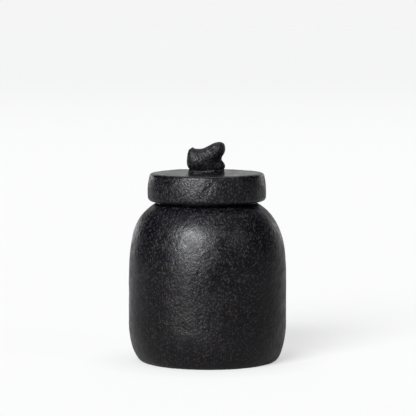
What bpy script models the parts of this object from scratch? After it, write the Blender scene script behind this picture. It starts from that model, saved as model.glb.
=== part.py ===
"""Black stoneware canister: a hollow jar, a capping lid, and a hand-pinched knob set in a coil of clay.

Metres, +Z up. The origin is the centre of the foot, on the surface that the jar stands on.
The jar and the lid are turned shapes. The knob is one lump of clay, pinched into lobes, on a round peg.
"""

import math

import bmesh
import bpy
from mathutils import Vector

# Jar: outer form, from the foot to the shoulder
body_radius = 0.0625
corner_width = 0.0107
corner_height = 0.0310
corner_power = 1.92
straight_height = 0.0020
shoulder_rise = 0.1011
shoulder_height_power = 5.1
shoulder_radius_power = 2.3
foot_ring_width = 0.0055
foot_recess = 0.0014
foot_step_width = 0.0012

# Jar: wall, floor and neck
body_wall = 0.0060
floor_thickness = 0.0075
inner_corner_width = 0.0115
inner_corner_height = 0.0175
neck_radius = 0.0390
neck_wall = 0.0060
neck_fillet = 0.0016
throat_rise = 0.0030
rim_edge_radius = 0.0020

# Lid: a cap whose ceiling rests on the rim and whose skirt hangs round the neck
seat_gap = 0.0003
skirt_clearance = 0.0008
skirt_wall = 0.0071
skirt_depth = 0.0142
lid_gap = 0.0023
lid_ceiling = 0.0067
lid_taper = 0.0013
lid_belly = 0.0006
lid_top_edge_height = 0.0026
lid_top_edge_width = 0.0013
lid_foot_edge_height = 0.0034
lid_foot_edge_width = 0.0027
skirt_edge_radius = 0.0012
ceiling_fillet = 0.0014

# Knob: one pinched lump on a round peg that stands in a shallow socket in the lid
knob_width = 0.0304
knob_depth = 0.0250
knob_height = 0.0254
knob_offset = -0.0006
peg_radius = 0.0080
peg_depth = 0.0012
peg_grip = 0.0020
peg_clearance = 0.0004
lobe_softness = 0.0020
search_step = 0.0004

# Coil of clay pressed round the foot of the knob
coil_width = 0.0063
coil_height = 0.0031
press_depth = 0.0004

# Counts, an angle in degrees, and shares chosen by eye
turned_steps = 64
shoulder_points = 12
inner_shoulder_points = 9
corner_points = 8
inner_corner_points = 6
edge_points = 3
belly_points = 4
weld_distance = 0.00001
sharp_angle = 35

lump_segments = 40
lump_rings = 26
lump_halvings = 12
lump_centre_shares = (-0.03, 0.0, 0.42)
# Each lobe: its centre, then its half sizes, as shares of the knob's width, depth and height
knob_lobe_shares = {
    "left_lump": ((-0.17, -0.04, 0.43), (0.30, 0.41, 0.25)),
    "left_shoulder": ((-0.36, 0.00, 0.68), (0.085, 0.26, 0.11)),
    "saddle": ((-0.04, 0.05, 0.59), (0.20, 0.28, 0.175)),
    "right_flap": ((0.37, 0.08, 0.81), (0.12, 0.22, 0.18)),
    "flap_root": ((0.19, 0.03, 0.62), (0.18, 0.30, 0.28)),
    "right_heel": ((0.31, 0.00, 0.27), (0.12, 0.25, 0.11)),
    "foot": ((0.00, 0.00, 0.20), (0.37, 0.33, 0.125)),
}
coil_segments = 56
coil_section_points = 12
coil_press_count = 7
coil_flat_share = 0.45

clay_colour = (0.020, 0.020, 0.021, 1.0)
clay_roughness = 0.55


def clear_scene():
    for old in list(bpy.data.objects):
        bpy.data.objects.remove(old, do_unlink=True)


def collection_named(name):
    made = bpy.data.collections.new(name)
    bpy.context.scene.collection.children.link(made)
    return made


def clay_material(name):
    """Black stoneware, unglazed and a little rough."""
    made = bpy.data.materials.new(name)
    made.use_nodes = True
    shader = made.node_tree.nodes["Principled BSDF"]
    shader.inputs["Base Color"].default_value = clay_colour
    shader.inputs["Roughness"].default_value = clay_roughness
    shader.inputs["Metallic"].default_value = 0.0
    return made


def object_named(name, mesh, home, material):
    made = bpy.data.objects.new(name, mesh)
    home.objects.link(made)
    made.data.materials.append(material)
    return made


def move_to(made, home):
    """Put an object into one collection and out of the others."""
    for shown_in in list(made.users_collection):
        shown_in.objects.unlink(made)
    home.objects.link(made)


def round_shading(made):
    made.data.shade_smooth()
    made.data.set_sharp_from_angle(angle=math.radians(sharp_angle))


def quarter(upright, level, count, power=2.0):
    """Points of a quarter superellipse, from its end that runs upright to its end that runs level."""
    points = []
    for i in range(count + 1):
        turn = math.pi / 2 * i / count
        across = math.cos(turn) ** (2 / power) if i < count else 0.0
        along = math.sin(turn) ** (2 / power)
        radius = level[0] + (upright[0] - level[0]) * across
        height = upright[1] + (level[1] - upright[1]) * along
        points.append((radius, height))
    return points


def shoulder_start():
    return corner_height + straight_height


def shoulder_height(radius):
    """Height at which the shoulder has this radius: a superellipse that would close on the axis."""
    closed = (radius / body_radius) ** shoulder_radius_power
    return shoulder_start() + shoulder_rise * (1 - closed) ** (1 / shoulder_height_power)


def shoulder_normal(radius):
    """Outward normal (radius, height) of the shoulder, from the slope of its formula."""
    rise = (shoulder_height(radius) - shoulder_start()) / shoulder_rise
    across = shoulder_radius_power * (radius / body_radius) ** (shoulder_radius_power - 1) / body_radius
    along = shoulder_height_power * rise ** (shoulder_height_power - 1) / shoulder_rise
    length = math.hypot(across, along)
    return across / length, along / length


def spread_radii(low, high, count):
    """Radii from low to high, closer together near high, where the shoulder bends away from the wall."""
    return [low + (high - low) * math.sin(math.pi / 2 * i / count) for i in range(count + 1)]


def skirt_inside():
    return neck_radius + skirt_clearance


def rim_height():
    """The neck stands up through the lid's skirt, whose foot hangs a small gap above the shoulder."""
    return shoulder_height(skirt_inside()) + lid_gap + skirt_depth - seat_gap


def lid_seat():
    return rim_height() + seat_gap


def lid_top():
    return lid_seat() + lid_ceiling


def coil_top():
    return lid_top() + seat_gap + coil_height


def turned(name, outline, home, material):
    """A solid of revolution: the outline starts and ends on the axis and runs down the outer side."""
    mesh = bpy.data.meshes.new(name)
    corners = [(radius, 0.0, height) for radius, height in outline]
    mesh.from_pydata(corners, [(i, i + 1) for i in range(len(corners) - 1)], [])
    made = object_named(name, mesh, home, material)
    screw = made.modifiers.new("turn", "SCREW")
    screw.axis = "Z"
    screw.angle = 2 * math.pi
    screw.steps = turned_steps
    screw.render_steps = turned_steps
    screw.use_merge_vertices = True
    screw.merge_threshold = weld_distance
    screw.use_smooth_shade = True
    return made


def jar_inside():
    """The hollow, from the middle of the floor up to the mouth: it follows the outside, one wall in."""
    inner_radius = body_radius - body_wall
    corner_top = floor_thickness + inner_corner_height
    mouth_radius = neck_radius - neck_wall
    floor_edge = (inner_radius - inner_corner_width, floor_thickness)
    corner = quarter((inner_radius, corner_top), floor_edge, inner_corner_points)
    points = [(0.0, floor_thickness)] + corner[::-1]

    radii = spread_radii(neck_radius, body_radius, inner_shoulder_points)[:-1]
    for radius in radii[::-1]:
        across, along = shoulder_normal(radius)
        inside = (radius - body_wall * across, shoulder_height(radius) - body_wall * along)
        if inside[0] > mouth_radius and inside[1] > corner_top:
            points.append(inside)

    throat = quarter((mouth_radius, points[-1][1] + throat_rise), points[-1], edge_points)
    return points + throat[::-1][1:]


def jar_rim():
    """The rounded rim, from its inner side over the top to its outer side."""
    top = rim_height()
    side = top - rim_edge_radius
    mouth_radius = neck_radius - neck_wall
    inner_edge = quarter((mouth_radius, side), (mouth_radius + rim_edge_radius, top), edge_points)
    outer_edge = quarter((neck_radius, side), (neck_radius - rim_edge_radius, top), edge_points)
    return inner_edge + outer_edge[::-1]


def jar_outside():
    """Down the neck, over the shoulder and the wall, round the corner and under the foot."""
    fillet_radius = neck_radius + neck_fillet
    neck_foot = shoulder_height(fillet_radius)
    points = quarter((neck_radius, neck_foot + neck_fillet), (fillet_radius, neck_foot), edge_points)[:-1]
    for radius in spread_radii(fillet_radius, body_radius, shoulder_points):
        points.append((radius, shoulder_height(radius)))

    foot_radius = body_radius - corner_width
    points += quarter((body_radius, corner_height), (foot_radius, 0.0), corner_points, corner_power)
    ring_inside = foot_radius - foot_ring_width
    return points + [(ring_inside, 0.0), (ring_inside - foot_step_width, foot_recess), (0.0, foot_recess)]


def jar_body(home):
    """The thrown jar: floor, wall, shoulder and neck in one, with a turned foot ring under it."""
    return turned("jar_body", jar_inside() + jar_rim() + jar_outside(), home, clay_material("jar_clay"))


def lid(home):
    """The capping lid: a thick disc, hollow below, whose skirt drops round the neck."""
    seat = lid_seat()
    top = lid_top()
    foot = seat - skirt_depth
    foot_radius = skirt_inside() + skirt_wall
    top_radius = foot_radius - lid_taper
    side_top = top - lid_top_edge_height
    side_foot = foot + lid_foot_edge_height
    socket_radius = peg_radius + peg_clearance
    socket_floor = top - peg_depth - seat_gap

    outline = [(0.0, socket_floor), (socket_radius, socket_floor), (socket_radius, top)]
    top_edge = quarter((top_radius, side_top), (top_radius - lid_top_edge_width, top), edge_points)
    outline += top_edge[::-1]
    for i in range(1, belly_points):
        down = i / belly_points
        swell = lid_belly * math.sin(math.pi * down)
        outline.append((top_radius + lid_taper * down + swell, side_top + (side_foot - side_top) * down))
    outline += quarter((foot_radius, side_foot), (foot_radius - lid_foot_edge_width, foot), edge_points + 1)

    inside = skirt_inside()
    inner_edge = quarter((inside, foot + skirt_edge_radius), (inside + skirt_edge_radius, foot), edge_points)
    outline += inner_edge[::-1]
    outline += quarter((inside, seat - ceiling_fillet), (inside - ceiling_fillet, seat), edge_points)
    outline.append((0.0, seat))
    return turned("lid", outline, home, clay_material("lid_clay"))


def knob_point(shares):
    """A place in the knob, from shares of its width, depth and height."""
    across, deep, up = shares
    return Vector((knob_offset + across * knob_width, deep * knob_depth, lid_top() + up * knob_height))


def knob_lobes():
    """Each lobe of the lump as (centre, half sizes), in metres."""
    lobes = []
    for centre_shares, (across, deep, up) in knob_lobe_shares.values():
        half = Vector((across * knob_width, deep * knob_depth, up * knob_height))
        lobes.append((knob_point(centre_shares), half))
    return lobes


def clay_distance(point, lobes):
    """Rough distance outside the lump: the lobes' own distances, melted into one another."""
    total = 0.0
    for centre, half in lobes:
        away = point - centre
        scaled = Vector((away.x / half.x, away.y / half.y, away.z / half.z)).length
        total += math.exp((1 - scaled) * min(half) / lobe_softness)
    return -lobe_softness * math.log(total)


def lump_reach(centre, direction, lobes):
    """How far the clay reaches from the centre: step inwards from outside, then halve the last step."""
    outside = max(knob_width, knob_depth, knob_height)
    while outside > search_step and clay_distance(centre + direction * outside, lobes) > 0:
        outside -= search_step
    inside, outside = outside, outside + search_step
    for _ in range(lump_halvings):
        middle = (inside + outside) / 2
        if clay_distance(centre + direction * middle, lobes) > 0:
            outside = middle
        else:
            inside = middle
    return inside


def lump_mesh():
    """A ball whose points are pushed out to the lobes, cut flat just above the coil."""
    lobes = knob_lobes()
    centre = knob_point(lump_centre_shares)
    shape = bmesh.new()
    bmesh.ops.create_uvsphere(shape, u_segments=lump_segments, v_segments=lump_rings, radius=knob_width)
    for corner in shape.verts:
        direction = corner.co.normalized()
        corner.co = centre + direction * lump_reach(centre, direction, lobes)
    cut = bmesh.ops.bisect_plane(
        shape,
        geom=shape.verts[:] + shape.edges[:] + shape.faces[:],
        plane_co=(0.0, 0.0, coil_top() + seat_gap),
        plane_no=(0.0, 0.0, -1.0),
        clear_outer=True,
    )
    rim = [part for part in cut["geom_cut"] if isinstance(part, bmesh.types.BMEdge)]
    bmesh.ops.edgeloop_fill(shape, edges=rim)
    bmesh.ops.recalc_face_normals(shape, faces=shape.faces[:])
    mesh = bpy.data.meshes.new("knob")
    shape.to_mesh(mesh)
    shape.free()
    return mesh


def knob(home, guides):
    """The pinched lump, joined to the round peg under it."""
    made = object_named("knob", lump_mesh(), home, clay_material("knob_clay"))

    peg_foot = lid_top() - peg_depth
    peg_head = coil_top() + seat_gap + peg_grip
    bpy.ops.mesh.primitive_cylinder_add(
        vertices=coil_segments,
        radius=peg_radius,
        depth=peg_head - peg_foot,
        location=(0.0, 0.0, (peg_head + peg_foot) / 2),
    )
    peg = bpy.context.object
    peg.name = "knob_peg_guide"
    peg.hide_render = True
    peg.display_type = "WIRE"
    move_to(peg, guides)

    join = made.modifiers.new("peg", "BOOLEAN")
    join.operation = "UNION"
    join.solver = "EXACT"
    join.object = peg
    round_shading(made)
    return made


def knob_coil(home):
    """The coil of clay round the knob's foot: a ring, flat below, pressed in by fingertips."""
    half_width = coil_width / 2
    middle = peg_radius + peg_clearance + half_width
    half_height = coil_height / (1 + coil_flat_share)
    foot = lid_top() + seat_gap
    bpy.ops.mesh.primitive_torus_add(
        major_segments=coil_segments,
        minor_segments=coil_section_points,
        major_radius=middle,
        minor_radius=half_width,
    )
    made = bpy.context.object
    made.name = "knob_coil"
    for corner in made.data.vertices:
        place = corner.co
        turn = math.atan2(place.y, place.x)
        radius = math.hypot(place.x, place.y)
        outward = max(0.0, (radius - middle) / half_width)
        lift = max(place.z / half_width, -coil_flat_share)
        press = press_depth * (1 + math.cos(coil_press_count * turn)) / 2
        radius -= press * outward
        height = foot + half_height * (lift + coil_flat_share) - press * max(0.0, lift)
        corner.co = Vector((radius * math.cos(turn), radius * math.sin(turn), height))
    move_to(made, home)
    made.data.materials.append(clay_material("coil_clay"))
    round_shading(made)
    return made


def main():
    clear_scene()
    canister = collection_named("canister")
    guides = collection_named("guides")
    jar_body(canister)

    lift = bpy.data.objects.new("lid_lift_axis", None)
    lift.location = (0.0, 0.0, lid_seat())
    canister.objects.link(lift)
    bpy.context.view_layer.update()
    for piece in (lid(canister), knob(canister, guides), knob_coil(canister)):
        piece.parent = lift
        piece.matrix_parent_inverse = lift.matrix_world.inverted()
    bpy.context.view_layer.update()


main()
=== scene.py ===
import math

import bpy
import numpy as np
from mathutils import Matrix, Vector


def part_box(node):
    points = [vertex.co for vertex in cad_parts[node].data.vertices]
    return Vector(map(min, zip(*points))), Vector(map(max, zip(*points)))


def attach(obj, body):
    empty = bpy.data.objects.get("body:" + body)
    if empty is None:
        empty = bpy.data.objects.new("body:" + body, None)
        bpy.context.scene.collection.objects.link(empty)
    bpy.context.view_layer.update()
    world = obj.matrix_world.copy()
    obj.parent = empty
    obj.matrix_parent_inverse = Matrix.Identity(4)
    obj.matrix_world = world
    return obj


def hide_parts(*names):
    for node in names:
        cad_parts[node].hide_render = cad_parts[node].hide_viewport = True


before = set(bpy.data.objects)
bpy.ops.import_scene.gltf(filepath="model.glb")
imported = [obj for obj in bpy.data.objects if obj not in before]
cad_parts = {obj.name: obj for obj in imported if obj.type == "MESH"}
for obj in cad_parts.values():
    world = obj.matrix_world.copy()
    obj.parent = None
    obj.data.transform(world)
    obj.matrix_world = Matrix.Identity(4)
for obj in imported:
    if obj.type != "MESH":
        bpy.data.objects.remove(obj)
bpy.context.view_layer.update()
jarLow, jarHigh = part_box("jar_body")
lidLow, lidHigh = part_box("lid")
knobLow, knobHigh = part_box("knob")
coilLow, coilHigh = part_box("knob_coil")
mm = 0.001
upward = np.array([0, 0, 1.0])
print("frame loaded, pieces to dress:", ", ".join(sorted(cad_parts)))


lottery = {
    # odd numbers for the axes, for the seed and for stirring, and which bits are kept
    "perAxis": (73856093, 19349663, 83492791), "perSeed": 40503, "stir": 73244475,
    "keptBits": 0x7fffffff, "lastBits": 0xffff,
}


def drawn(cells, seed):
    # The three numbers of a lattice cell are mixed bit by bit into one even number from 0 to 1
    forX, forY, forZ = lottery["perAxis"]
    mixed = (cells[..., 0] * forX) ^ (cells[..., 1] * forY) ^ (cells[..., 2] * forZ)
    mixed = (mixed + seed * lottery["perSeed"]) & lottery["keptBits"]
    for stir in range(2):
        mixed = ((mixed ^ (mixed >> 15)) * lottery["stir"]) & lottery["keptBits"]
    return ((mixed ^ (mixed >> 16)) & lottery["lastBits"]) / lottery["lastBits"]


def steps(first, last):
    # Every whole step from first to last along each of x, y and z
    reach = range(first, last + 1)
    return [np.array([dx, dy, dz]) for dx in reach for dy in reach for dz in reach]


def rolling(points, size, seed):
    # Gradient noise: each corner of a cubic lattice of this size has a random slope, and the eight slopes
    # met at a point are blended with weights t*t*t*(t*(6t-15)+10)
    place = points / size
    corner = np.floor(place).astype(np.int64)
    part = place - corner
    ease = part * part * part * (part * (part * 6 - 15) + 10)
    total = np.zeros(points.shape[:-1])
    for step in steps(0, 1):
        up = drawn(corner + step, seed) * 2 - 1
        turn = drawn(corner + step, seed + 7) * 2 * math.pi
        level = np.sqrt(np.maximum(0, 1 - up * up))
        slope = np.stack([level * np.cos(turn), level * np.sin(turn), up], axis=-1)
        weight = np.abs(1 - step - ease).prod(axis=-1)
        total += weight * ((part - step) * slope).sum(axis=-1)
    return total * 1.6  # which brings it to about -1 to 1


def rollingSteps(points, size, seeds):
    # Three rolling noises as one step in space
    return np.stack([rolling(points, size, seed) for seed in seeds], axis=-1)


def layered(points, size, seed, layers=2, fade=0.5):
    # Rolling noise added to itself at half the size and a share of the height, layer by layer
    total = np.zeros(points.shape[:-1])
    for layer in range(layers):
        total += fade ** layer * rolling(points, size / 2 ** layer, seed + 31 * layer)
    return total


def pebbled(points, size, seed):
    # One jittered seed in each cube of a lattice: the distances to the nearest seed and to the next,
    # in sizes, and the number drawn for the nearest
    place = points / size
    home = np.floor(place).astype(np.int64)
    first = np.full(points.shape[:-1], np.inf)
    second = np.full(points.shape[:-1], np.inf)
    number = np.zeros(points.shape[:-1])
    for step in steps(-1, 1):
        cell = home + step
        seedPoint = cell + np.stack([drawn(cell, seed + axis) for axis in (1, 2, 3)], axis=-1)
        away = np.linalg.norm(place - seedPoint, axis=-1)
        closer = away < first
        second = np.where(closer, first, np.minimum(second, away))
        number = np.where(closer, drawn(cell, seed + 4), number)
        first = np.where(closer, away, first)
    return first, second, number


def eased(value, low, high):
    # 0 below low, 1 above high, and t*t*(3-2t) between them
    t = np.clip((value - low) / (high - low), 0, 1)
    return t * t * (3 - 2 * t)


def cornerCurve(upright, level, power=2.0, count=24):
    # Quarter superellipse from the end that runs upright to the end that runs level:
    # across = cos(turn)^(2/power), along = sin(turn)^(2/power)
    turn = np.linspace(0, math.pi / 2, count)
    across = np.clip(np.cos(turn), 0, 1) ** (2 / power)
    along = np.sin(turn) ** (2 / power)
    radius = level[0] + (upright[0] - level[0]) * across
    height = upright[1] + (level[1] - upright[1]) * along
    return np.column_stack([radius, height])


def paced(outline, step):
    # The same outline with its points about this step apart along it
    outline = np.asarray(outline, float)
    walked = np.concatenate([[0], np.cumsum(np.linalg.norm(np.diff(outline, axis=0), axis=1))])
    count = max(2, int(round(walked[-1] / step)) + 1)
    at = np.linspace(0, walked[-1], count)
    return np.column_stack([np.interp(at, walked, outline[:, 0]), np.interp(at, walked, outline[:, 1])])


def turns(count):
    # Even turns once round the axis, in radians
    return 2 * math.pi * np.arange(count) / count


def spokes(turn):
    # The level direction, one long, at each turn
    return np.stack([np.cos(turn), np.sin(turn), np.zeros_like(turn)], axis=-1)


def turnedRings(stretches):
    # Each stretch is (outline, columns, relief strength). An outline's point (radius, height) goes round
    # the axis, and its normal is its own direction of travel turned a quarter to the right
    whole = np.concatenate([outline for outline, columns, strength in stretches])
    travel = np.gradient(whole, axis=0)
    travel /= np.maximum(np.linalg.norm(travel, axis=1), 1e-9)[:, None]
    rings = []
    start = 0
    for outline, columns, strength in stretches:
        sideways = travel[start:start + len(outline)]
        start += len(outline)
        around = spokes(turns(columns))
        points = outline[:, 0, None, None] * around + outline[:, 1, None, None] * upward
        normals = sideways[:, 1, None, None] * around - sideways[:, 0, None, None] * upward
        rings.append((points, normals, strength))
    return rings


def plainMesh(name, corners, faces, material):
    # An object at the origin, with its place in its mesh
    mesh = bpy.data.meshes.new(name)
    mesh.from_pydata(corners.tolist(), [], faces)
    mesh.update()
    made = bpy.data.objects.new(name, mesh)
    bpy.context.scene.collection.objects.link(made)
    mesh.materials.append(material)
    return made


def clayPiece(name, corners, faces, material, burnished=0.0):
    # One smooth object, with a number on each point for how far the clay there was rubbed smooth
    made = plainMesh(name, corners, faces, material)
    rubbed = made.data.attributes.new("burnished", "FLOAT", "POINT")
    rubbed.data.foreach_set("value", (burnished + np.zeros(len(corners))).astype(np.float32))
    made.data.shade_smooth()
    print(name + ":", len(corners), "points,", sum(len(face) - 2 for face in faces), "triangles")
    return made


def skinOver(name, rings, material, burnish=None):
    # Joins rings of points from one pole to the other, with faces outward when the rings run up the
    # outside. Rings of equal count get quads, a ring with several times as many points gets one wide
    # face for each point of its neighbour, and a single point gets a fan of triangles
    corners = np.concatenate(rings)
    starts = np.concatenate([[0], np.cumsum([len(ring) for ring in rings])])
    faces = []
    for low, high, lowStart, highStart in zip(rings[:-1], rings[1:], starts[:-2], starts[1:-1]):
        lowCount, highCount = len(low), len(high)
        count = max(lowCount, highCount) if 1 in (lowCount, highCount) else min(lowCount, highCount)
        here = np.arange(count)
        there = (here + 1) % count
        if lowCount == 1:
            joined = [np.full(count, lowStart), highStart + there, highStart + here]
        elif highCount == 1:
            joined = [lowStart + here, lowStart + there, np.full(count, highStart)]
        elif lowCount < highCount:
            times = highCount // lowCount
            fan = (here[:, None] * times + np.arange(times, -1, -1)) % highCount
            joined = [lowStart + here, lowStart + there, highStart + fan]
        else:
            times = lowCount // highCount
            fan = (here[:, None] * times + np.arange(times + 1)) % lowCount
            joined = [lowStart + fan, highStart + there, highStart + here]
        faces += np.column_stack(joined).tolist()
    return clayPiece(name, corners, faces, material, 0.0 if burnish is None else burnish(corners))


def wired(tree, value, socket):
    # Another node's output is linked to the socket, and a plain number or colour is set on it
    if isinstance(value, bpy.types.NodeSocket):
        tree.links.new(value, socket)
    else:
        socket.default_value = value


def ranged(tree, value, low, high, toLow, toHigh, way="SMOOTHSTEP"):
    spread = tree.nodes.new("ShaderNodeMapRange")
    spread.interpolation_type = way
    for socket, number in zip(spread.inputs[1:5], (low, high, toLow, toHigh)):
        socket.default_value = number
    wired(tree, value, spread.inputs["Value"])
    return spread.outputs["Result"]


def combined(tree, operation, first, second):
    both = tree.nodes.new("ShaderNodeMath")
    both.operation = operation
    wired(tree, first, both.inputs[0])
    wired(tree, second, both.inputs[1])
    return both.outputs["Value"]


def between(tree, share, atNone, atFull, kind="FLOAT"):
    # From atNone where the share is 0 to atFull where it is 1
    mix = tree.nodes.new("ShaderNodeMix")
    mix.data_type = kind
    wired(tree, share, mix.inputs["Factor"])
    wired(tree, atNone, mix.inputs["A"])
    wired(tree, atFull, mix.inputs["B"])
    return mix.outputs["Result"]


def stoneware(name, look):
    # Black clay, burnished by hand: a near-black ground between a cool and a warm tone, lighter and darker
    # and duller and shinier from grain to grain, warm specks of grog, and a bump of leather and grit
    made = bpy.data.materials.new(name)
    made.use_nodes = True
    tree = made.node_tree
    shader = tree.nodes["Principled BSDF"]
    shader.inputs["Specular IOR Level"].default_value = look["gloss"]
    place = tree.nodes.new("ShaderNodeTexCoord").outputs["Object"]

    def noise(size, detail, where=place, distortion=0.0):
        texture = tree.nodes.new("ShaderNodeTexNoise")
        texture.inputs["Scale"].default_value = 1 / size
        texture.inputs["Detail"].default_value = detail
        texture.inputs["Distortion"].default_value = distortion
        wired(tree, where, texture.inputs["Vector"])
        return texture.outputs["Fac"]

    def stretched(scale):
        mapping = tree.nodes.new("ShaderNodeMapping")
        mapping.inputs["Scale"].default_value = scale
        wired(tree, place, mapping.inputs["Vector"])
        return mapping.outputs["Vector"]

    # The height makes it warmer and more speckled towards the foot, and dustier towards the top
    height = tree.nodes.new("ShaderNodeSeparateXYZ")
    wired(tree, place, height.inputs["Vector"])
    climb = (height.outputs["Z"], look["warmBelow"], look["coolAbove"])
    lower = ranged(tree, *climb, look["lowerShift"], -look["lowerShift"])
    tint = combined(tree, "ADD", noise(look["tintSize"], 3), lower)
    warm = ranged(tree, tint, look["tintLow"], look["tintHigh"], 0, 1)
    ground = between(tree, warm, look["cool"], look["warm"], "RGBA")
    grain = noise(look["grainSize"], 2, stretched(look["grainStretch"]))
    dusty = combined(tree, "MULTIPLY", ranged(tree, grain, look["grainLow"], look["grainHigh"], 1, 0),
                     ranged(tree, *climb, look["dustBelow"], look["dustAbove"]))
    ground = between(tree, dusty, ground, look["dust"], "RGBA")

    # A speck is the middle of a cell, in a share of the cells, and there are more of them in some patches
    grog = tree.nodes.new("ShaderNodeTexVoronoi")
    grog.inputs["Scale"].default_value = 1 / look["speckSpacing"]
    wired(tree, stretched(look["speckStretch"]), grog.inputs["Vector"])
    cell = tree.nodes.new("ShaderNodeSeparateColor")
    wired(tree, grog.outputs["Color"], cell.inputs["Color"])
    middle = ranged(tree, grog.outputs["Distance"], look["speckReach"] / 2, look["speckReach"], 1, 0)
    taken = ranged(tree, cell.outputs["Red"], look["speckFrom"], look["speckTo"], 0, 1)
    patch = combined(tree, "ADD", noise(look["speckPatch"], 1), lower)
    crowd = ranged(tree, patch, look["patchLow"], look["patchHigh"], look["patchLeast"], 1)
    speck = combined(tree, "MULTIPLY", combined(tree, "MULTIPLY", middle, taken), crowd)
    wired(tree, between(tree, speck, ground, look["speckColour"], "RGBA"), shader.inputs["Base Color"])

    # Burnishing lowers the leather, the grit and the streaks, and the roughness with them
    rubbed = tree.nodes.new("ShaderNodeAttribute")
    rubbed.attribute_name = "burnished"
    raw = ranged(tree, rubbed.outputs["Fac"], 0, 1, 1, 0)
    leather = noise(look["leatherSize"], 2, distortion=look["leatherTwist"])
    leather = ranged(tree, leather, look["leatherLow"], look["leatherHigh"], 0, look["leatherDepth"])
    grit = combined(tree, "MULTIPLY", noise(look["gritSize"], 1), look["gritDepth"])
    streak = noise(look["streakSize"], 1, stretched(look["streakStretch"]))
    streak = combined(tree, "MULTIPLY", streak, look["streakDepth"])
    relief = combined(tree, "ADD", combined(tree, "ADD", leather, grit), streak)
    bump = tree.nodes.new("ShaderNodeBump")
    bump.inputs["Distance"].default_value = 1.0
    wired(tree, ranged(tree, raw, 0, 1, look["burnishedBump"], 1), bump.inputs["Strength"])
    wired(tree, relief, bump.inputs["Height"])
    wired(tree, bump.outputs["Normal"], shader.inputs["Normal"])

    # The dusty grains are the duller ones
    shine = combined(tree, "MULTIPLY", grain, -look["grainShine"])
    worn = combined(tree, "ADD", noise(look["wornSize"], 3), shine)
    worn = combined(tree, "ADD", worn, look["grainShine"] / 2)
    worn = ranged(tree, worn, look["wornLow"], look["wornHigh"], look["smooth"], look["rough"])
    kept = ranged(tree, raw, 0, 1, look["burnishedRough"], 1)
    wired(tree, combined(tree, "MULTIPLY", worn, kept), shader.inputs["Roughness"])
    return made


bodyLook = {
    "cool": (0.0010, 0.0010, 0.0022, 1), "warm": (0.0018, 0.0013, 0.0012, 1),
    "tintSize": 6 * mm, "tintLow": 0.40, "tintHigh": 0.62,
    "warmBelow": 25 * mm, "coolAbove": 115 * mm, "lowerShift": 0.08,
    "dust": (0.0285, 0.0280, 0.0335, 1), "dustBelow": 0.31, "dustAbove": 0.74,
    "grainSize": 1.5 * mm, "grainStretch": (1, 1, 0.8), "grainLow": 0.34, "grainHigh": 0.49,
    "speckColour": (0.050, 0.036, 0.027, 1), "speckSpacing": 1.9 * mm, "speckStretch": (1, 1, 1.6),
    "speckReach": 0.32, "speckFrom": 0.64, "speckTo": 0.74,
    "speckPatch": 17 * mm, "patchLow": 0.36, "patchHigh": 0.60, "patchLeast": 0.1,
    "leatherSize": 2.3 * mm, "leatherDepth": 0.095 * mm,
    "leatherTwist": 0.6, "leatherLow": 0.30, "leatherHigh": 0.62,
    "gritSize": 1.1 * mm, "gritDepth": 0.07 * mm,
    "streakSize": 1.6 * mm, "streakStretch": (1, 1, 0.2), "streakDepth": 0.05 * mm,
    "gloss": 0.28, "smooth": 0.30, "rough": 0.50,
    "wornSize": 8.4 * mm, "wornLow": 0.2, "wornHigh": 0.8, "grainShine": 0.4,
    "burnishedRough": 0.75, "burnishedBump": 0.15,
}
lidLook = dict(
    bodyLook, dust=(0.0250, 0.0245, 0.0290, 1), grainHigh=0.50, leatherDepth=0.16 * mm,
    smooth=0.32, rough=0.52, gloss=0.32)
knobLook = dict(
    bodyLook, dust=(0.0220, 0.0215, 0.0235, 1), leatherSize=2.0 * mm, leatherDepth=0.22 * mm,
    smooth=0.40, rough=0.60, gloss=0.34)
jarClay = stoneware("jarClay", bodyLook)
lidClay = stoneware("lidClay", lidLook)
knobClay = stoneware("knobClay", knobLook)
coilClay = stoneware("coilClay", knobLook)
print("clay mixed: 4 finishes")


handwork = {
    # the seeds of the noises, and what all the pieces share in their relief
    "waveSeed": 3, "lumpSeed": 11, "bendSeeds": (21, 22, 23), "pebbleSeed": 41, "pitSeed": 61,
    "bendSize": 1.5, "creaseWidth": 0.45, "pebbleLevel": 0.7,  # in pebble sizes, and a share of their height
    "pitFrom": 0.55, "pitTo": 0.75, "pitFloor": 0.08, "pitEdge": 0.30,
    "strokeSeeds": (71, 72, 73), "strokeBend": 2.6 * mm, "strokeFrom": -2 * mm, "strokeTo": 3 * mm,
}


def clayRelief(points, relief):
    # Height of the clay over its plain form: an even coat, slow waves left by the hands, lumps a finger
    # wide, pebbles with creases between them, and pits, each a layer of noise times its own height
    height = relief["coat"] + relief["waveHeight"] * rolling(points, relief["waveSize"], handwork["waveSeed"])
    height += relief["lumpHeight"] * layered(points, relief["lumpSize"], handwork["lumpSeed"])
    size = relief["pebbleSize"]
    bend = rollingSteps(points, size * handwork["bendSize"], handwork["bendSeeds"])
    first, second, number = pebbled(points + relief["pebbleBend"] * bend, size, handwork["pebbleSeed"])
    domes = eased(second - first, 0.0, handwork["creaseWidth"]) - handwork["pebbleLevel"]
    height += relief["pebbleHeight"] * domes
    first, second, number = pebbled(points, relief["pitSpacing"], handwork["pitSeed"])
    pits = eased(number, handwork["pitFrom"], handwork["pitTo"])
    height -= relief["pitDepth"] * pits * (1 - eased(first, handwork["pitFloor"], handwork["pitEdge"]))
    return height


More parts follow.
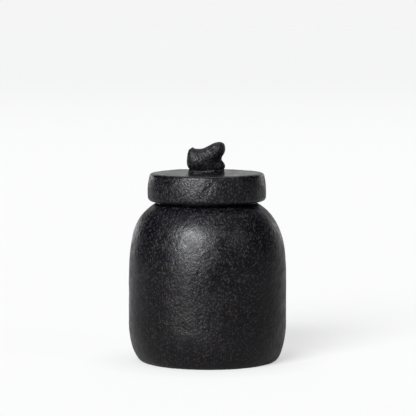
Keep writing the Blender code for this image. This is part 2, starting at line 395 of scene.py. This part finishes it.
def marked(points, marks, bend=0.0):
    # Single strokes on the front, their places and widths in millimetres: each counts for
    # amount * exp(-(distance / width)^2), where the distance is taken in the front view to the straight
    # line between the stroke's two ends (x, z), and there is one width on the line's left and another on
    # its right. Noise bends the lines by up to about bend, and they fade out behind the axis
    total = np.zeros(points.shape[:-1])
    fade = 1 - eased(points[..., 1], handwork["strokeFrom"], handwork["strokeTo"])
    if bend:
        points = points + bend * rollingSteps(points, handwork["strokeBend"], handwork["strokeSeeds"])
    for start, end, leftWidth, rightWidth, amount in marks:
        start = np.array(start) * mm
        along = np.array(end) * mm - start
        offset = points[..., [0, 2]] - start
        share = np.clip(offset @ along / max(along @ along, 1e-12), 0, 1)
        away = np.linalg.norm(offset - share[..., None] * along, axis=-1)
        right = (offset[..., 1] * along[0] - offset[..., 0] * along[1]) * np.sign(-along[1]) > 0
        width = np.where(right, rightWidth, leftWidth) * mm
        total += amount * np.exp(-(away / width) ** 2)
    return total * fade


jar = {
    "columns": 460, "insideColumns": 115, "cornerPoints": 200, "shoulderPoints": 300,
    "step": 0.82 * mm, "underStep": 5 * mm, "ringStep": 1.4 * mm,
    "neckStep": 1.6 * mm, "rimStep": 0.8 * mm, "insideStep": 2.4 * mm,
    "underRelief": 0.3, "outsideRelief": 1.0, "neckRelief": 0.4, "insideRelief": 0.5,
    "cornerWidth": 10.7 * mm, "cornerHeight": 31.0 * mm, "cornerPower": 1.92, "straight": 2.0 * mm,
    "shoulderRise": 101.1 * mm, "heightPower": 5.1, "radiusPower": 2.3,
    "footRingWidth": 5.5 * mm, "footRecess": 1.4 * mm, "footStep": 1.2 * mm, "footSlope": 0.96 * mm,
    "wall": 6.0 * mm, "floor": 7.5 * mm, "insideCornerWidth": 11.5 * mm, "insideCornerHeight": 17.5 * mm,
    "neckRadius": 39.0 * mm, "neckFillet": 1.6 * mm, "throatRise": 3.0 * mm, "rimEdge": 2.0 * mm,
    "lean": 0.60 * mm, "leanFrom": 96 * mm, "leanTo": 114 * mm, "footLean": 0.50 * mm, "footLeanTo": 12 * mm,
    "swell": 0.15 * mm, "swellFrom": 84 * mm, "swellTo": 118 * mm,
}
jarRelief = {
    "coat": 0.40 * mm, "waveSize": 38 * mm, "waveHeight": 0.25 * mm,
    "lumpSize": 12 * mm, "lumpHeight": 0.13 * mm,
    "pebbleSize": 3.0 * mm, "pebbleBend": 1.1 * mm, "pebbleHeight": 0.06 * mm,
    "pitSpacing": 5.0 * mm, "pitDepth": 0.20 * mm,
}
jarMarks = [
    # upper end, lower end, width to the left and to the right, height: two grains that stand up and catch
    # the light on the shoulder
    ((22.3, 114.6), (22.6, 114.2), 0.7, 0.7, 0.60),
    ((31.6, 100.7), (32.6, 100.0), 0.7, 0.7, 0.30),
]
jarRubs = [
    # the same, with an amount from 0 to 1 in place of the height: where the front and the left flank were
    # burnished harder
    ((11.5, 78.0), (11.5, 68.0), 9.5, 10.0, 0.9),
    ((-50.0, 74.0), (-50.0, 22.0), 15.0, 14.0, 1.0),
]


def shoulderOf(radius):
    # Height of the shoulder over this radius: start + rise * (1 - (radius/body)^a)^(1/b)
    start = jar["cornerHeight"] + jar["straight"]
    closed = (radius / jarHigh.x) ** jar["radiusPower"]
    return start + jar["shoulderRise"] * np.clip(1 - closed, 0, 1) ** (1 / jar["heightPower"])


def jarOutlines():
    # Stretches of one outline, from the middle of the underside up the outside, over the rim and down to
    # the middle of the floor inside
    body = jarHigh.x
    footRadius = body - jar["cornerWidth"]
    ringInside = footRadius - jar["footRingWidth"]
    neckRadius = jar["neckRadius"]
    filletRadius = neckRadius + jar["neckFillet"]
    sweep = np.sin(np.linspace(math.pi / 2, 0, jar["shoulderPoints"]))
    radii = filletRadius + (body - filletRadius) * sweep
    shoulder = np.column_stack([radii, shoulderOf(radii)])
    corner = cornerCurve((body, jar["cornerHeight"]), (footRadius, 0),
                         jar["cornerPower"], jar["cornerPoints"])
    neckFoot = shoulderOf(filletRadius)
    fillet = cornerCurve((neckRadius, neckFoot + jar["neckFillet"]), (filletRadius, neckFoot))
    top = jarHigh.z
    edge = jar["rimEdge"]
    mouth = neckRadius - jar["wall"]
    rimOut = cornerCurve((neckRadius, top - edge), (neckRadius - edge, top))
    rimIn = cornerCurve((mouth, top - edge), (mouth + edge, top))

    recess = jar["footRecess"]
    under = paced([(0, recess), (ringInside - jar["footStep"], recess)], jar["underStep"])
    ring = paced([(ringInside - jar["footSlope"], recess), (ringInside, 0), (footRadius, 0)], jar["ringStep"])
    outside = paced(np.concatenate([corner[::-1][1:], shoulder[1:]]), jar["step"])
    neck = paced(np.concatenate([fillet[::-1][1:], rimOut]), jar["neckStep"])
    rim = paced(rimIn[::-1], jar["rimStep"])

    # The hollow follows the shoulder one wall in, along its normal, until it meets the mouth
    wall, floor = jar["wall"], jar["floor"]
    cornerTop = floor + jar["insideCornerHeight"]
    slope = np.gradient(shoulder, axis=0)
    slope /= np.linalg.norm(slope, axis=1)[:, None]
    within = np.column_stack([shoulder[:, 0] - wall * slope[:, 1], shoulder[:, 1] + wall * slope[:, 0]])
    within = within[(within[:, 0] > mouth) & (within[:, 1] > cornerTop)]
    throat = cornerCurve((mouth, within[-1, 1] + jar["throatRise"]), tuple(within[-1]))
    bowl = cornerCurve((body - wall, cornerTop), (body - wall - jar["insideCornerWidth"], floor))
    hollow = paced(np.concatenate([throat, within[::-1], bowl, [(0, floor)]]), jar["insideStep"])
    fine, coarse = jar["columns"], jar["insideColumns"]
    return [
        (under[1:], coarse, jar["underRelief"]), (ring, fine, jar["underRelief"]),
        (outside, fine, jar["outsideRelief"]), (neck, fine, jar["neckRelief"]),
        (rim, fine, jar["neckRelief"]), (hollow[:-1], coarse, jar["insideRelief"])]


def leaned(points):
    # The body stands a little to one side of the mouth, and its foot a little further: the first shift
    # fades out up the shoulder, the second just over the foot
    shifted = points.copy()
    shifted[..., 0] += jar["lean"] * (1 - eased(points[..., 2], jar["leanFrom"], jar["leanTo"]))
    shifted[..., 0] += jar["footLean"] * (1 - eased(points[..., 2], 0, jar["footLeanTo"]))
    return shifted


def makeJar():
    # The outline turned round the axis, with its relief and its swell along the normals, then leaned, and
    # kept from going under the ground
    rings = [np.array([[0, 0, jar["footRecess"]]])]
    for points, normals, strength in turnedRings(jarOutlines()):
        up = points[..., 2]
        swollen = eased(up, jar["swellFrom"], jar["swellTo"]) - eased(up, jar["swellTo"], lidLow.z)
        height = clayRelief(points, jarRelief) + mm * marked(points, jarMarks) + jar["swell"] * swollen
        moved = leaned(points + normals * (height * strength)[..., None])
        moved[..., 2] = np.maximum(moved[..., 2], 0)
        rings += list(moved)
    rings.append(np.array([[0, 0, jar["floor"]]]))
    return skinOver("jar_thrown", rings, jarClay, lambda points: marked(points, jarRubs))


thrownJar = makeJar()
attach(thrownJar, "jar")
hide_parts("jar_body")


lid = {
    "columns": 600, "insideColumns": 150, "sidePoints": 60,
    "topStep": 0.62 * mm, "sideStep": 0.50 * mm, "insideStep": 2.0 * mm, "socketStep": 2.0 * mm,
    "underRelief": 0.3, "sideRelief": 1.0, "topRelief": 0.35, "socketRelief": 0.0,
    "skirtInside": 39.8 * mm, "skirtWall": 7.1 * mm, "skirtDepth": 14.2 * mm,
    "taper": 1.5 * mm, "belly": 0.6 * mm, "topRaise": 0.85 * mm,
    "topEdgeHeight": 1.7 * mm, "topEdgeWidth": 3.2 * mm, "topEdgePower": 1.8,
    "footEdgeHeight": 3.4 * mm, "footEdgeWidth": 2.7 * mm, "skirtEdge": 1.2 * mm, "ceilingFillet": 1.4 * mm,
    "socketRadius": 8.4 * mm, "socketDepth": 1.5 * mm, "socketLip": 0.3 * mm,
    "topRub": 0.85, "footRub": 0.6, "footRubFrom": 2.04 * mm, "footRubTo": 4.08 * mm,
}
lidRelief = {
    "coat": 0.30 * mm, "waveSize": 30 * mm, "waveHeight": 0.20 * mm,
    "lumpSize": 9 * mm, "lumpHeight": 0.11 * mm,
    "pebbleSize": 3.0 * mm, "pebbleBend": 1.0 * mm, "pebbleHeight": 0.05 * mm,
    "pitSpacing": 5.5 * mm, "pitDepth": 0.14 * mm, "markBend": 1.1 * mm,
}
lidMarks = [
    # a slanting crease on the front of the side, from its upper end to its lower one
    ((3.0, 144.0), (1.4, 142.0), 2.2, 4.0, -0.27),
    ((0.6, 140.4), (-0.8, 138.8), 2.0, 4.0, -0.27),
    ((-3.2, 136.8), (-4.6, 134.4), 1.8, 3.6, -0.20),
    # three dents in it
    ((-0.2, 141.2), (-1.0, 140.2), 0.9, 0.9, -0.22),
    ((2.4, 140.0), (2.0, 139.0), 0.8, 0.8, -0.20),
    ((6.0, 139.4), (5.6, 136.6), 0.9, 0.9, -0.20),
    # a nick that stands up near the side's foot
    ((19.9, 133.4), (20.8, 130.4), 0.5, 0.5, 0.50),
    # and two low swellings
    ((-18.0, 132.6), (-10.0, 132.0), 3.5, 3.5, 0.30),
    ((-27.0, 140.0), (-27.0, 136.0), 8.0, 8.0, 0.35),
]


def lidOutlines():
    # Stretches of one outline, from the middle of the ceiling down the skirt's inside, up the outside and
    # over the top to the middle of the socket. The top stands a little higher than the plain solid's
    top = lidHigh.z + lid["topRaise"]
    foot = lidLow.z
    seat = foot + lid["skirtDepth"]
    inside = lid["skirtInside"]
    footRadius = inside + lid["skirtWall"]
    topRadius = footRadius - lid["taper"]
    sideTop, sideFoot = top - lid["topEdgeHeight"], foot + lid["footEdgeHeight"]
    down = np.linspace(1, 0, lid["sidePoints"])
    side = np.column_stack([topRadius + lid["taper"] * down + lid["belly"] * np.sin(math.pi * down),
                            sideTop + (sideFoot - sideTop) * down])
    flatRadius = topRadius - lid["topEdgeWidth"]
    topEdge = cornerCurve((topRadius, sideTop), (flatRadius, top), lid["topEdgePower"], lid["sidePoints"])
    footEdge = cornerCurve((footRadius, sideFoot), (footRadius - lid["footEdgeWidth"], foot))
    skirtEdge = cornerCurve((inside, foot + lid["skirtEdge"]), (inside + lid["skirtEdge"], foot))
    fillet = cornerCurve((inside, seat - lid["ceilingFillet"]), (inside - lid["ceilingFillet"], seat))
    socket, socketFloor = lid["socketRadius"], lidHigh.z - lid["socketDepth"]
    under = paced(np.concatenate([[(0, seat)], fillet[::-1], skirtEdge]), lid["insideStep"])
    outside = paced(np.concatenate([footEdge[::-1], side[1:-1], topEdge]), lid["sideStep"])
    upper = paced([(flatRadius - lid["topStep"], top), (socket, top)], lid["topStep"])
    hole = [(socket, top - lid["socketLip"]), (socket, socketFloor), (0, socketFloor)]
    hole = paced(hole, lid["socketStep"])
    fine, coarse = lid["columns"], lid["insideColumns"]
    return [
        (under[1:], coarse, lid["underRelief"]), (outside, fine, lid["sideRelief"]),
        (upper, fine, lid["topRelief"]), (hole[:-1], coarse, lid["socketRelief"])]


def lidBurnish(points):
    # The flat top and its edge are rubbed smooth, and so is the rounded edge at the foot
    top = eased(points[:, 2], lidHigh.z - lid["topEdgeHeight"], lidHigh.z)
    foot = 1 - eased(points[:, 2], lidLow.z + lid["footRubFrom"], lidLow.z + lid["footRubTo"])
    return np.maximum(lid["topRub"] * top, lid["footRub"] * foot)


def makeLid():
    # The outline turned round the axis, with its relief along the normals
    rings = [np.array([[0, 0, lidLow.z + lid["skirtDepth"]]])]
    for points, normals, strength in turnedRings(lidOutlines()):
        height = clayRelief(points, lidRelief) + mm * marked(points, lidMarks, lidRelief["markBend"])
        rings += list(points + normals * (height * strength)[..., None])
    rings.append(np.array([[0, 0, lidHigh.z - lid["socketDepth"]]]))
    return skinOver("lid_cap", rings, lidClay, lidBurnish)


lidCap = makeLid()
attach(lidCap, "lid")
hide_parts("lid")


knob = {
    "columns": 360, "rows": 190, "softness": 2.0 * mm, "centreHeight": 10.7 * mm,
    "walk": 0.4 * mm, "walkCount": 70, "halvings": 9, "slopeGap": 0.1 * mm,
    "footHeight": 3.7 * mm, "pegRadius": 8.0 * mm, "pegRings": 4, "pegRoom": 1.02,
    # centre as shares of the knob's width, depth and height, half sizes as the same shares, and how
    # square the lobe is: 2 is round, more is boxier
    "lobes": (
        ((-0.145, -0.01, 0.48), (0.255, 0.33, 0.276), 3.6),   # the big lump
        ((-0.28, 0.00, 0.36), (0.127, 0.24, 0.11), 2.4),      # its side, which bulges low on the left
        ((-0.18, -0.06, 0.47), (0.17, 0.32, 0.14), 2.2),      # its front, fullest at half height
        ((-0.395, -0.02, 0.665), (0.038, 0.16, 0.070), 2.4),  # its upper left shoulder
        ((0.400, 0.02, 0.815), (0.058, 0.20, 0.108), 2.6),    # the flap drawn up on the right
        ((0.25, -0.04, 0.72), (0.11, 0.27, 0.16), 2.0),       # the slope up to it
        ((0.31, -0.02, 0.84), (0.070, 0.18, 0.065), 2.2),     # and the slope's upper end
        ((0.14, 0.00, 0.62), (0.14, 0.25, 0.19), 2.4),        # the root of the flap
        ((0.155, 0.05, 0.36), (0.15, 0.18, 0.24), 2.6),       # the wall below it
        ((0.378, 0.12, 0.255), (0.078, 0.16, 0.085), 2.0),    # the heel
        ((-0.08, 0.00, 0.12), (0.22, 0.25, 0.14), 3.0),       # the foot
        ((0.10, 0.14, 0.12), (0.235, 0.14, 0.14), 2.6),       # and the foot under the heel, set back
    ),
}
knobRelief = {
    "coat": 0.10 * mm, "waveSize": 9 * mm, "waveHeight": 0.20 * mm,
    "lumpSize": 4.0 * mm, "lumpHeight": 0.07 * mm,
    "pebbleSize": 2.4 * mm, "pebbleBend": 0.8 * mm, "pebbleHeight": 0.06 * mm,
    "pitSpacing": 4.0 * mm, "pitDepth": 0.12 * mm,
}
knobMarks = [
    ((-10.8, 169.7), (-11.4, 169.4), 0.90, 0.90, 0.95),  # the nub on the shoulder
    ((-0.6, 169.6), (-1.1, 167.2), 0.60, 0.50, -0.60),   # the crease beside the flap
    ((2.3, 169.8), (2.0, 169.4), 0.50, 0.50, -0.50),     # two pits on the flap's slope
    ((3.8, 168.9), (3.2, 168.4), 0.80, 0.80, -0.90),
    ((5.9, 171.9), (0.7, 168.9), 1.00, 0.80, 0.55),      # its ridge
    ((6.5, 171.0), (4.6, 168.9), 0.45, 0.45, -0.35),     # a furrow
    ((8.0, 171.9), (5.6, 168.2), 0.60, 0.60, 0.30),      # a second ridge
    ((0.2, 166.8), (-0.2, 165.8), 1.20, 1.20, 0.30),     # a fuller place below
]
knobMiddle = np.array([(knobLow.x + knobHigh.x) / 2, 0, lidHigh.z])
knobSize = np.array([knobHigh.x - knobLow.x, knobHigh.y - knobLow.y, knobHigh.z - lidHigh.z])


def clayDistance(points):
    # Rough distance outside the lump. A lobe's own distance is ((x^p + y^p + z^p)^(1/p) - 1) times its
    # least half size, with x, y, z the offset over the half sizes, and they melt together as
    # -softness * log(sum(exp(-distance/softness)))
    total = np.zeros(points.shape[:-1])
    for centreShares, halfShares, power in knob["lobes"]:
        half = np.array(halfShares) * knobSize
        offset = np.abs(points - knobMiddle - np.array(centreShares) * knobSize) / half
        scaled = (offset ** power).sum(axis=-1) ** (1 / power)
        total += np.exp((1 - scaled) * half.min() / knob["softness"])
    return -knob["softness"] * np.log(total + 1e-300)


def makeKnob():
    # From a point inside, each direction's reach is found by walking in from outside and then halving
    centre = np.array([0, 0, lidHigh.z + knob["centreHeight"]])
    around = spokes(turns(knob["columns"]))
    fall = np.linspace(math.pi, 0, knob["rows"] + 2)[1:-1, None, None]
    directions = np.sin(fall) * around + np.cos(fall) * upward
    reach = np.full(directions.shape[:-1], knobSize.max())
    for step in range(knob["walkCount"]):
        outside = clayDistance(centre + directions * reach[..., None]) > 0
        reach = np.where(outside, reach - knob["walk"], reach)
    low, high = reach, reach + knob["walk"]
    for halving in range(knob["halvings"]):
        middle = (low + high) / 2
        outside = clayDistance(centre + directions * middle[..., None]) > 0
        low, high = np.where(outside, low, middle), np.where(outside, middle, high)
    points = centre + directions * low[..., None]

    # Outward normals from the slope of the distance, then the relief
    gaps = knob["slopeGap"] * np.eye(3)
    normals = np.stack([clayDistance(points + gap) - clayDistance(points - gap) for gap in gaps], axis=-1)
    normals /= np.linalg.norm(normals, axis=-1)[..., None]
    points = points + normals * (clayRelief(points, knobRelief) + mm * marked(points, knobMarks))[..., None]

    # Cut flat just over the coil, by sliding each low point back along its own direction
    floor = lidHigh.z + knob["footHeight"]
    drop = np.clip((centre[2] - floor) / np.maximum(centre[2] - points[..., 2], 1e-6), 0, 1)
    points = centre + (points - centre) * np.where(points[..., 2] < floor, drop, 1)[..., None]

    # A round peg takes the place of the rows that would lie inside it
    rowRadius = np.hypot(points[..., 0], points[..., 1]).max(axis=1)
    outsidePeg = (rowRadius > knob["pegRadius"] * knob["pegRoom"]) | (points[:, 0, 2] > centre[2])
    pegHeights = np.linspace(knobLow.z, floor, knob["pegRings"])[:, None, None]
    peg = around * knob["pegRadius"] + upward * pegHeights
    top = points[-1].mean(axis=0)
    rings = [np.array([[0, 0, knobLow.z]])] + list(peg) + list(points[outsidePeg]) + [top[None, :]]
    return skinOver("knob_pinched", rings, knobClay)


pinchedKnob = makeKnob()
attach(pinchedKnob, "lid")
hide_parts("knob")


coil = {
    "columns": 400, "around": 60,
    "innerRadius": 8.4 * mm, "power": 3.6, "flatShare": 0.75, "overlap": 0.6 * mm,
    "flare": 0.7 * mm, "flareLevel": 0.5, "smear": 3.4 * mm, "smearHeight": 0.9 * mm,
    "pressCount": 7, "pressDepth": 0.7 * mm, "pressDrift": 1.3, "reliefFrom": -0.6,
}
coilRelief = {
    "coat": 0.05 * mm, "waveSize": 8 * mm, "waveHeight": 0.45 * mm,
    "lumpSize": 3.5 * mm, "lumpHeight": 0.28 * mm,
    "pebbleSize": 2.4 * mm, "pebbleBend": 0.8 * mm, "pebbleHeight": 0.08 * mm,
    "pitSpacing": 3.5 * mm, "pitDepth": 0.30 * mm,
}


def makeCoil():
    # A ring of clay pressed onto the lid until it meets the knob: its section is a superellipse,
    # cos(bend)^(2/power) by sin(bend)^(2/power), cut flat at -flatShare of its half height. The outside
    # stands out by half the flare at the top and draws in below, has dents pressed into it, and on the
    # left and right runs out onto the lid by smear * exp(-height/smearHeight)
    half = (coilHigh.x - coil["innerRadius"]) / 2
    middle = coil["innerRadius"] + half
    height = (coilHigh.z + coil["overlap"] - coilLow.z) / (1 + coil["flatShare"])
    turn = turns(coil["columns"])[:, None]
    bend = turns(coil["around"])[None, :]
    power = 2 / coil["power"]
    across = np.sign(np.cos(bend)) * np.abs(np.cos(bend)) ** power
    lift = np.maximum(np.sign(np.sin(bend)) * np.abs(np.sin(bend)) ** power, -coil["flatShare"])
    press = coil["pressCount"] * turn + coil["pressDrift"] * np.sin(2 * turn)
    press = coil["pressDepth"] * (1 + np.cos(press)) / 2
    outside = np.maximum(0, np.cos(bend))
    up = coilLow.z + height * (lift + coil["flatShare"]) - press * np.maximum(0, lift)
    smear = coil["smear"] * np.exp((coilLow.z - up) / coil["smearHeight"]) * np.cos(turn) ** 2
    flare = coil["flare"] * (lift - coil["flareLevel"])
    radius = middle + half * across + (flare + smear - press) * outside
    around = spokes(turn)
    points = radius[..., None] * around + up[..., None] * upward
    normals = np.cos(bend)[..., None] * around + np.sin(bend)[..., None] * upward
    relief = clayRelief(points, coilRelief) * eased(lift, coil["reliefFrom"], 0.0)
    points = points + normals * relief[..., None]
    points[..., 2] = np.maximum(points[..., 2], coilLow.z)
    rows, columns = points.shape[:2]
    here = np.arange(rows)[:, None] * columns
    there = (here + columns) % (rows * columns)
    near = np.arange(columns)[None, :]
    far = (near + 1) % columns
    faces = np.stack([here + near, there + near, there + far, here + far], axis=-1).reshape(-1, 4)
    return clayPiece("coil_pressed", points.reshape(-1, 3), faces.tolist(), coilClay)


pressedCoil = makeCoil()
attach(pressedCoil, "lid")
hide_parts("knob_coil")


stage = {
    "floorRadii": (0.15, 0.3, 0.6, 1.2, 3, 8, 40), "floorColumns": 96, "floorRoughness": 0.9,
    "floorSeen": 0.160, "floorBounce": 0.27,  # its colour in the picture, and for the light that goes on
    "floorShine": 0.694, "floorGlint": 0.2,  # its glow in the picture, and in the clay's reflections
    "farLoss": 0.055, "farFrom": 1.8, "farTo": 7.5,  # how the glow falls off far away
    # the share of the glow taken off close to the foot is a painted contact shadow
    "contactShade": 0.20, "contactReach": 40 * mm, "contactSamples": 8,  # and close to the foot
    "roomSeen": 0.92, "roomGlow": 0.02, "gamma": 0.9,
}
white, paleBlue = (1, 1, 1), (0.965, 0.972, 1)
lamps = {
    # azimuth, elevation and width in degrees, strength, colour; azimuth 0 is the camera's side, minus is left
    "keyLamp": (-24, 32.5, 33, 7.9, paleBlue),
    "lowLamp": (-32, 8, 24, 1.05, white),
    "fillLamp": (54, 31, 18, 0.40, white),
    "overheadLamp": (180, 74, 60, 0.88, white),
    "backLamp": (176, 6, 60, 0.62, white),
    "leftRimLamp": (-152, 1, 16, 0.33, white),
    "rightRimLamp": (148, 2, 28, 0.27, white),
}
camera = {
    "focal": 2258, "frame": 416, "sensor": 36,  # focal length and frame in pixels, sensor in millimetres
    "pitch": 5.02, "axisHeight": 121.90 * mm, "distance": 1.800, "right": 1.0 * mm, "clip": (0.05, 100),
}


def seenOr(tree, other, seen):
    # One number for what the picture shows directly and another for the light that goes on from there
    return between(tree, tree.nodes.new("ShaderNodeLightPath").outputs["Is Camera Ray"], other, seen)


def makePaper():
    # The camera sees a painted glow on top that lightens the shadow, a little less of it far away, and less
    # under the jar's foot, a painted contact shadow standing for the room's light that the foot shuts out.
    # The clay mirrors some of it
    paper = bpy.data.materials.new("palePaper")
    paper.use_nodes = True
    tree = paper.node_tree
    shader = tree.nodes["Principled BSDF"]
    wired(tree, seenOr(tree, stage["floorBounce"], stage["floorSeen"]), shader.inputs["Base Color"])
    away = tree.nodes.new("ShaderNodeVectorMath")
    away.operation = "LENGTH"
    wired(tree, tree.nodes.new("ShaderNodeTexCoord").outputs["Object"], away.inputs[0])
    far = ranged(tree, away.outputs["Value"], stage["farFrom"], stage["farTo"],
                 stage["floorShine"], stage["floorShine"] - stage["farLoss"])
    # painted contact shadow: ambient occlusion darkens the floor's glow under the jar's foot
    near = tree.nodes.new("ShaderNodeAmbientOcclusion")
    near.samples = stage["contactSamples"]
    near.inputs["Distance"].default_value = stage["contactReach"]
    paintedFootShadow = ranged(tree, near.outputs["AO"], 0, 1, 1 - stage["contactShade"], 1, "LINEAR")
    glossy = tree.nodes.new("ShaderNodeLightPath").outputs["Is Glossy Ray"]
    glint = combined(tree, "MULTIPLY", glossy, stage["floorGlint"])
    glow = seenOr(tree, glint, combined(tree, "MULTIPLY", far, paintedFootShadow))
    wired(tree, glow, shader.inputs["Emission Strength"])
    shader.inputs["Emission Color"].default_value = (1, 1, 1, 1)
    shader.inputs["Roughness"].default_value = stage["floorRoughness"]
    shader.inputs["Specular IOR Level"].default_value = 0.0
    return paper


def makeFloor():
    # A flat disc of rings of points round the axis
    columns = stage["floorColumns"]
    rim = spokes(turns(columns))
    corners = np.concatenate([np.zeros((1, 3))] + [rim * radius for radius in stage["floorRadii"]])
    here = np.arange(columns)
    there = (here + 1) % columns
    faces = np.column_stack([np.zeros(columns, int), 1 + here, 1 + there]).tolist()
    for ring in range(len(stage["floorRadii"]) - 1):
        inner = 1 + ring * columns
        outer = inner + columns
        faces += np.column_stack([inner + here, outer + here, outer + there, inner + there]).tolist()
    floor = plainMesh("floor", corners, faces, makePaper())


def makeRoom():
    # An even white room behind the floor's edge, which hardly lights the object itself
    world = bpy.data.worlds.new("room")
    bpy.context.scene.world = world
    world.use_nodes = True
    background = world.node_tree.nodes["Background"]
    background.inputs["Color"].default_value = (1, 1, 1, 1)
    light = seenOr(world.node_tree, stage["roomGlow"], stage["roomSeen"])
    wired(world.node_tree, light, background.inputs["Strength"])


def makeLamps():
    # Far lamps as wide soft discs, so that the floor is lit evenly up to the horizon
    for name, (azimuth, elevation, width, strength, colour) in lamps.items():
        light = bpy.data.lights.new(name, "SUN")
        light.angle = math.radians(width)
        light.energy = strength
        light.color = colour
        made = bpy.data.objects.new(name, light)
        bpy.context.scene.collection.objects.link(made)
        made.rotation_euler = (math.radians(90 - elevation), 0, math.radians(azimuth))


def makeCamera():
    # The camera looks down by its pitch at a point a little to the right of the jar's axis
    data = bpy.data.cameras.new("photographCamera")
    made = bpy.data.objects.new("photographCamera", data)
    bpy.context.scene.collection.objects.link(made)
    data.sensor_width = camera["sensor"]
    data.lens = camera["focal"] / camera["frame"] * camera["sensor"]
    data.clip_start, data.clip_end = camera["clip"]
    pitch = math.radians(camera["pitch"])
    made.location = (camera["right"], -camera["distance"] * math.cos(pitch),
                     camera["axisHeight"] + camera["distance"] * math.sin(pitch))
    made.rotation_euler = (math.pi / 2 - pitch, 0, 0)
    bpy.context.scene.camera = made


makeFloor()
makeRoom()
makeLamps()
makeCamera()
bpy.context.scene.view_settings.view_transform = "Standard"
bpy.context.scene.view_settings.gamma = stage["gamma"]
print("stage set: floor, room,", len(lamps), "lamps, camera")
